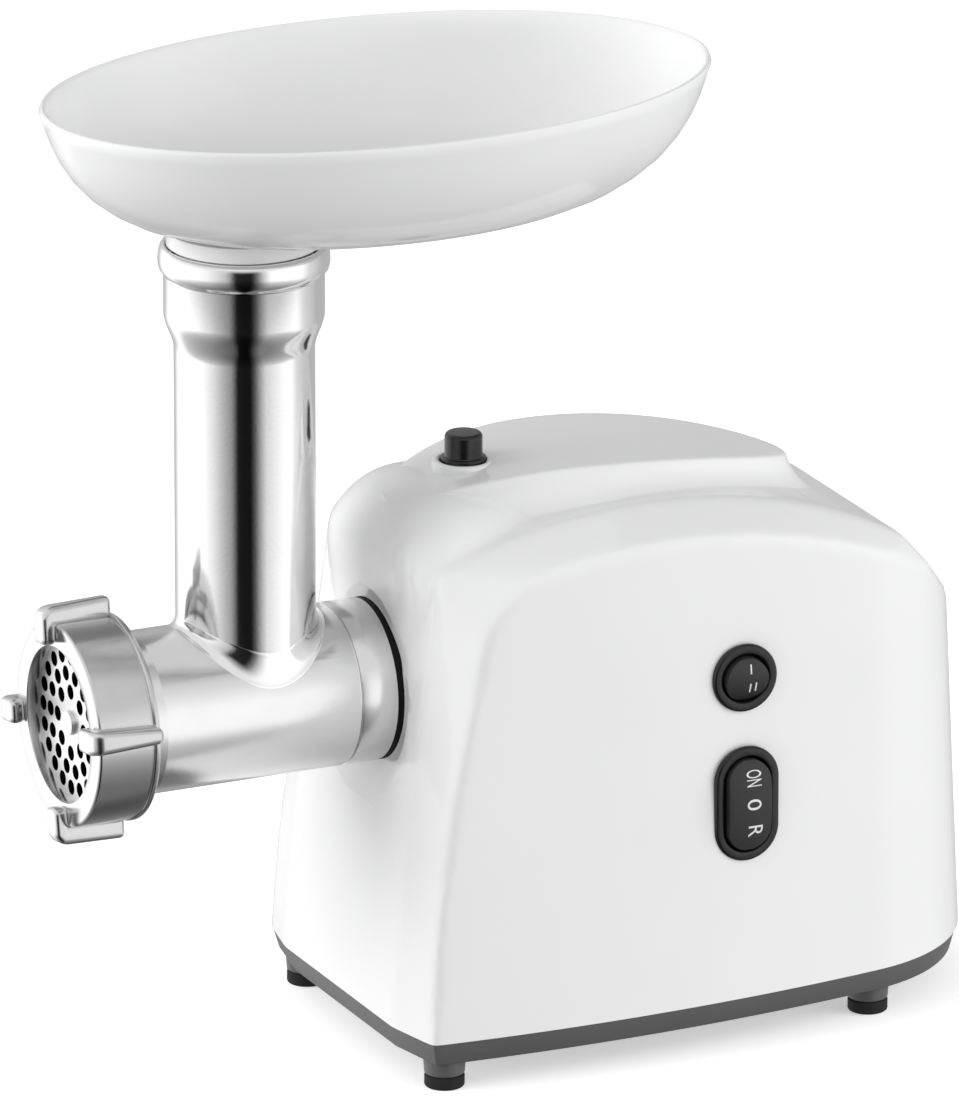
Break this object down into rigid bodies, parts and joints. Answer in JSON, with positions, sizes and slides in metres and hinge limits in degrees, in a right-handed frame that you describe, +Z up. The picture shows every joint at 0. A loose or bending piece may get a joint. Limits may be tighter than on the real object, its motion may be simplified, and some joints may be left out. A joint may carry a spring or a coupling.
{
  "type": "electric meat grinder",
  "caption": "Electric meat grinder: moulded casing with motor and gear train, metal grinding head with feed tube, ring nut and perforated plate, and an oval food tray.",
  "frame": {"origin": "middle of the whole machine's footprint box, on the table under the feet", "axes": "+Z up, -X along the grinding head towards the ring nut, switches on the -Y side"},
  "size_m": [0.323, 0.144, 0.325],
  "materials": {
    "white": "gloss",
    "grey_base": "satin",
    "rubber_black": "matte",
    "black": "gloss",
    "rocker_black": "satin",
    "head_metal": "polished",
    "plate_steel": "brushed",
    "gear_plastic": "satin",
    "shaft_steel": "ground",
    "case_metal": "cast",
    "lamination": "stacked",
    "copper": "wound",
    "bush_bronze": "sintered",
    "inner_plastic": "satin"
  },
  "bodies": {
    "root": {"upper_casing": "white", "base_tray": "grey_base", "base_screws": "shaft_steel", "cord_gland": "black", "mouth_ring": "black", "gear_pins": "shaft_steel", "gearbox_case": "case_metal", "gearbox_cover": "case_metal", "gearbox_spacers": "shaft_steel", "output_bush": "bush_bronze", "stator_core": "lamination", "field_coil_upper": "copper", "field_coil_lower": "copper", "front_motor_bearing": "bush_bronze", "rear_motor_bearing": "bush_bronze", "rear_motor_bracket": "case_metal", "brush_holder_left": "inner_plastic", "brush_holder_right": "inner_plastic", "speed_switch_frame": "black", "power_switch_frame": "black", "button_spring": "shaft_steel", "button_bracket": "case_metal", "foot_1": "grey_base", "foot_pad_1": "rubber_black", "foot_2": "grey_base", "foot_pad_2": "rubber_black", "foot_3": "grey_base", "foot_pad_3": "rubber_black", "foot_4": "grey_base", "foot_pad_4": "rubber_black"},
    "speed_rocker_body": {"speed_rocker": "rocker_black"},
    "power_rocker_body": {"power_rocker": "rocker_black"},
    "button_body": {"release_button": "black"},
    "head": {"grinder_barrel": "head_metal", "feed_tube": "head_metal"},
    "tray": {"food_tray": "white"},
    "plate": {"cutting_plate": "plate_steel"},
    "nut": {"ring_nut": "head_metal"},
    "auger_drive": {"auger": "head_metal", "cross_knife": "plate_steel", "auger_washer": "inner_plastic", "output_shaft": "shaft_steel", "output_gear": "gear_plastic"},
    "first_wheel": {"first_gear": "gear_plastic"},
    "second_wheel": {"second_gear": "gear_plastic"},
    "rotor": {"motor_shaft": "shaft_steel", "motor_pinion": "shaft_steel", "armature_core": "lamination", "commutator": "copper", "cooling_fan": "inner_plastic"}
  },
  "joints": [
    {"name": "speed_rock", "type": "hinge", "parent": "root", "child": "speed_rocker_body", "pos_m": [0.059, -0.0611, 0.127], "axis": [-1, 0, 0], "range_deg": [0, 18]},
    {"name": "power_rock", "type": "hinge", "parent": "root", "child": "power_rocker_body", "pos_m": [0.059, -0.06297, 0.0845], "axis": [1, 0, 0], "range_deg": [-9, 9]},
    {"name": "button_press", "type": "slide", "parent": "root", "child": "button_body", "axis": [0, 0, -1], "range_m": [0, 0.005], "stiffness_N_per_m": 900, "springref_m": -0.002, "deforming": ["button_spring"]},
    {"name": "head_turn", "type": "hinge", "parent": "root", "child": "head", "pos_m": [-0.0855, 0, 0.123], "axis": [1, 0, 0], "range_deg": [0, 40]},
    {"name": "tray_lift", "type": "slide", "parent": "head", "child": "tray", "axis": [0, 0, 1], "range_m": [0, 0.08]},
    {"name": "plate_slide", "type": "slide", "parent": "head", "child": "plate", "axis": [-1, 0, 0], "range_m": [0, 0.01]},
    {"name": "nut_turn", "type": "hinge", "parent": "plate", "child": "nut", "pos_m": [-0.1505, 0, 0.123], "axis": [-1, 0, 0], "range_deg": [0, 1440]},
    {"name": "rotor_spin", "type": "hinge", "parent": "root", "child": "rotor", "pos_m": [0.0545, 0, 0.062], "axis": [1, 0, 0], "continuous": true},
    {"name": "first_spin", "type": "hinge", "parent": "root", "child": "first_wheel", "pos_m": [0.0085, -0.022, 0.0824], "axis": [1, 0, 0], "continuous": true},
    {"name": "second_spin", "type": "hinge", "parent": "root", "child": "second_wheel", "pos_m": [-0.0025, 0.01546, 0.08074], "axis": [1, 0, 0], "continuous": true},
    {"name": "auger_spin", "type": "hinge", "parent": "root", "child": "auger_drive", "pos_m": [-0.0855, 0, 0.123], "axis": [1, 0, 0], "continuous": true}
  ],
  "couplings": [
    {"joint": "plate_slide", "follows": "nut_turn", "m_per_rad": 0.00039789},
    {"joint": "first_spin", "follows": "rotor_spin", "ratio": -0.2},
    {"joint": "second_spin", "follows": "rotor_spin", "ratio": 0.05},
    {"joint": "auger_spin", "follows": "rotor_spin", "ratio": -0.0125}
  ]
}
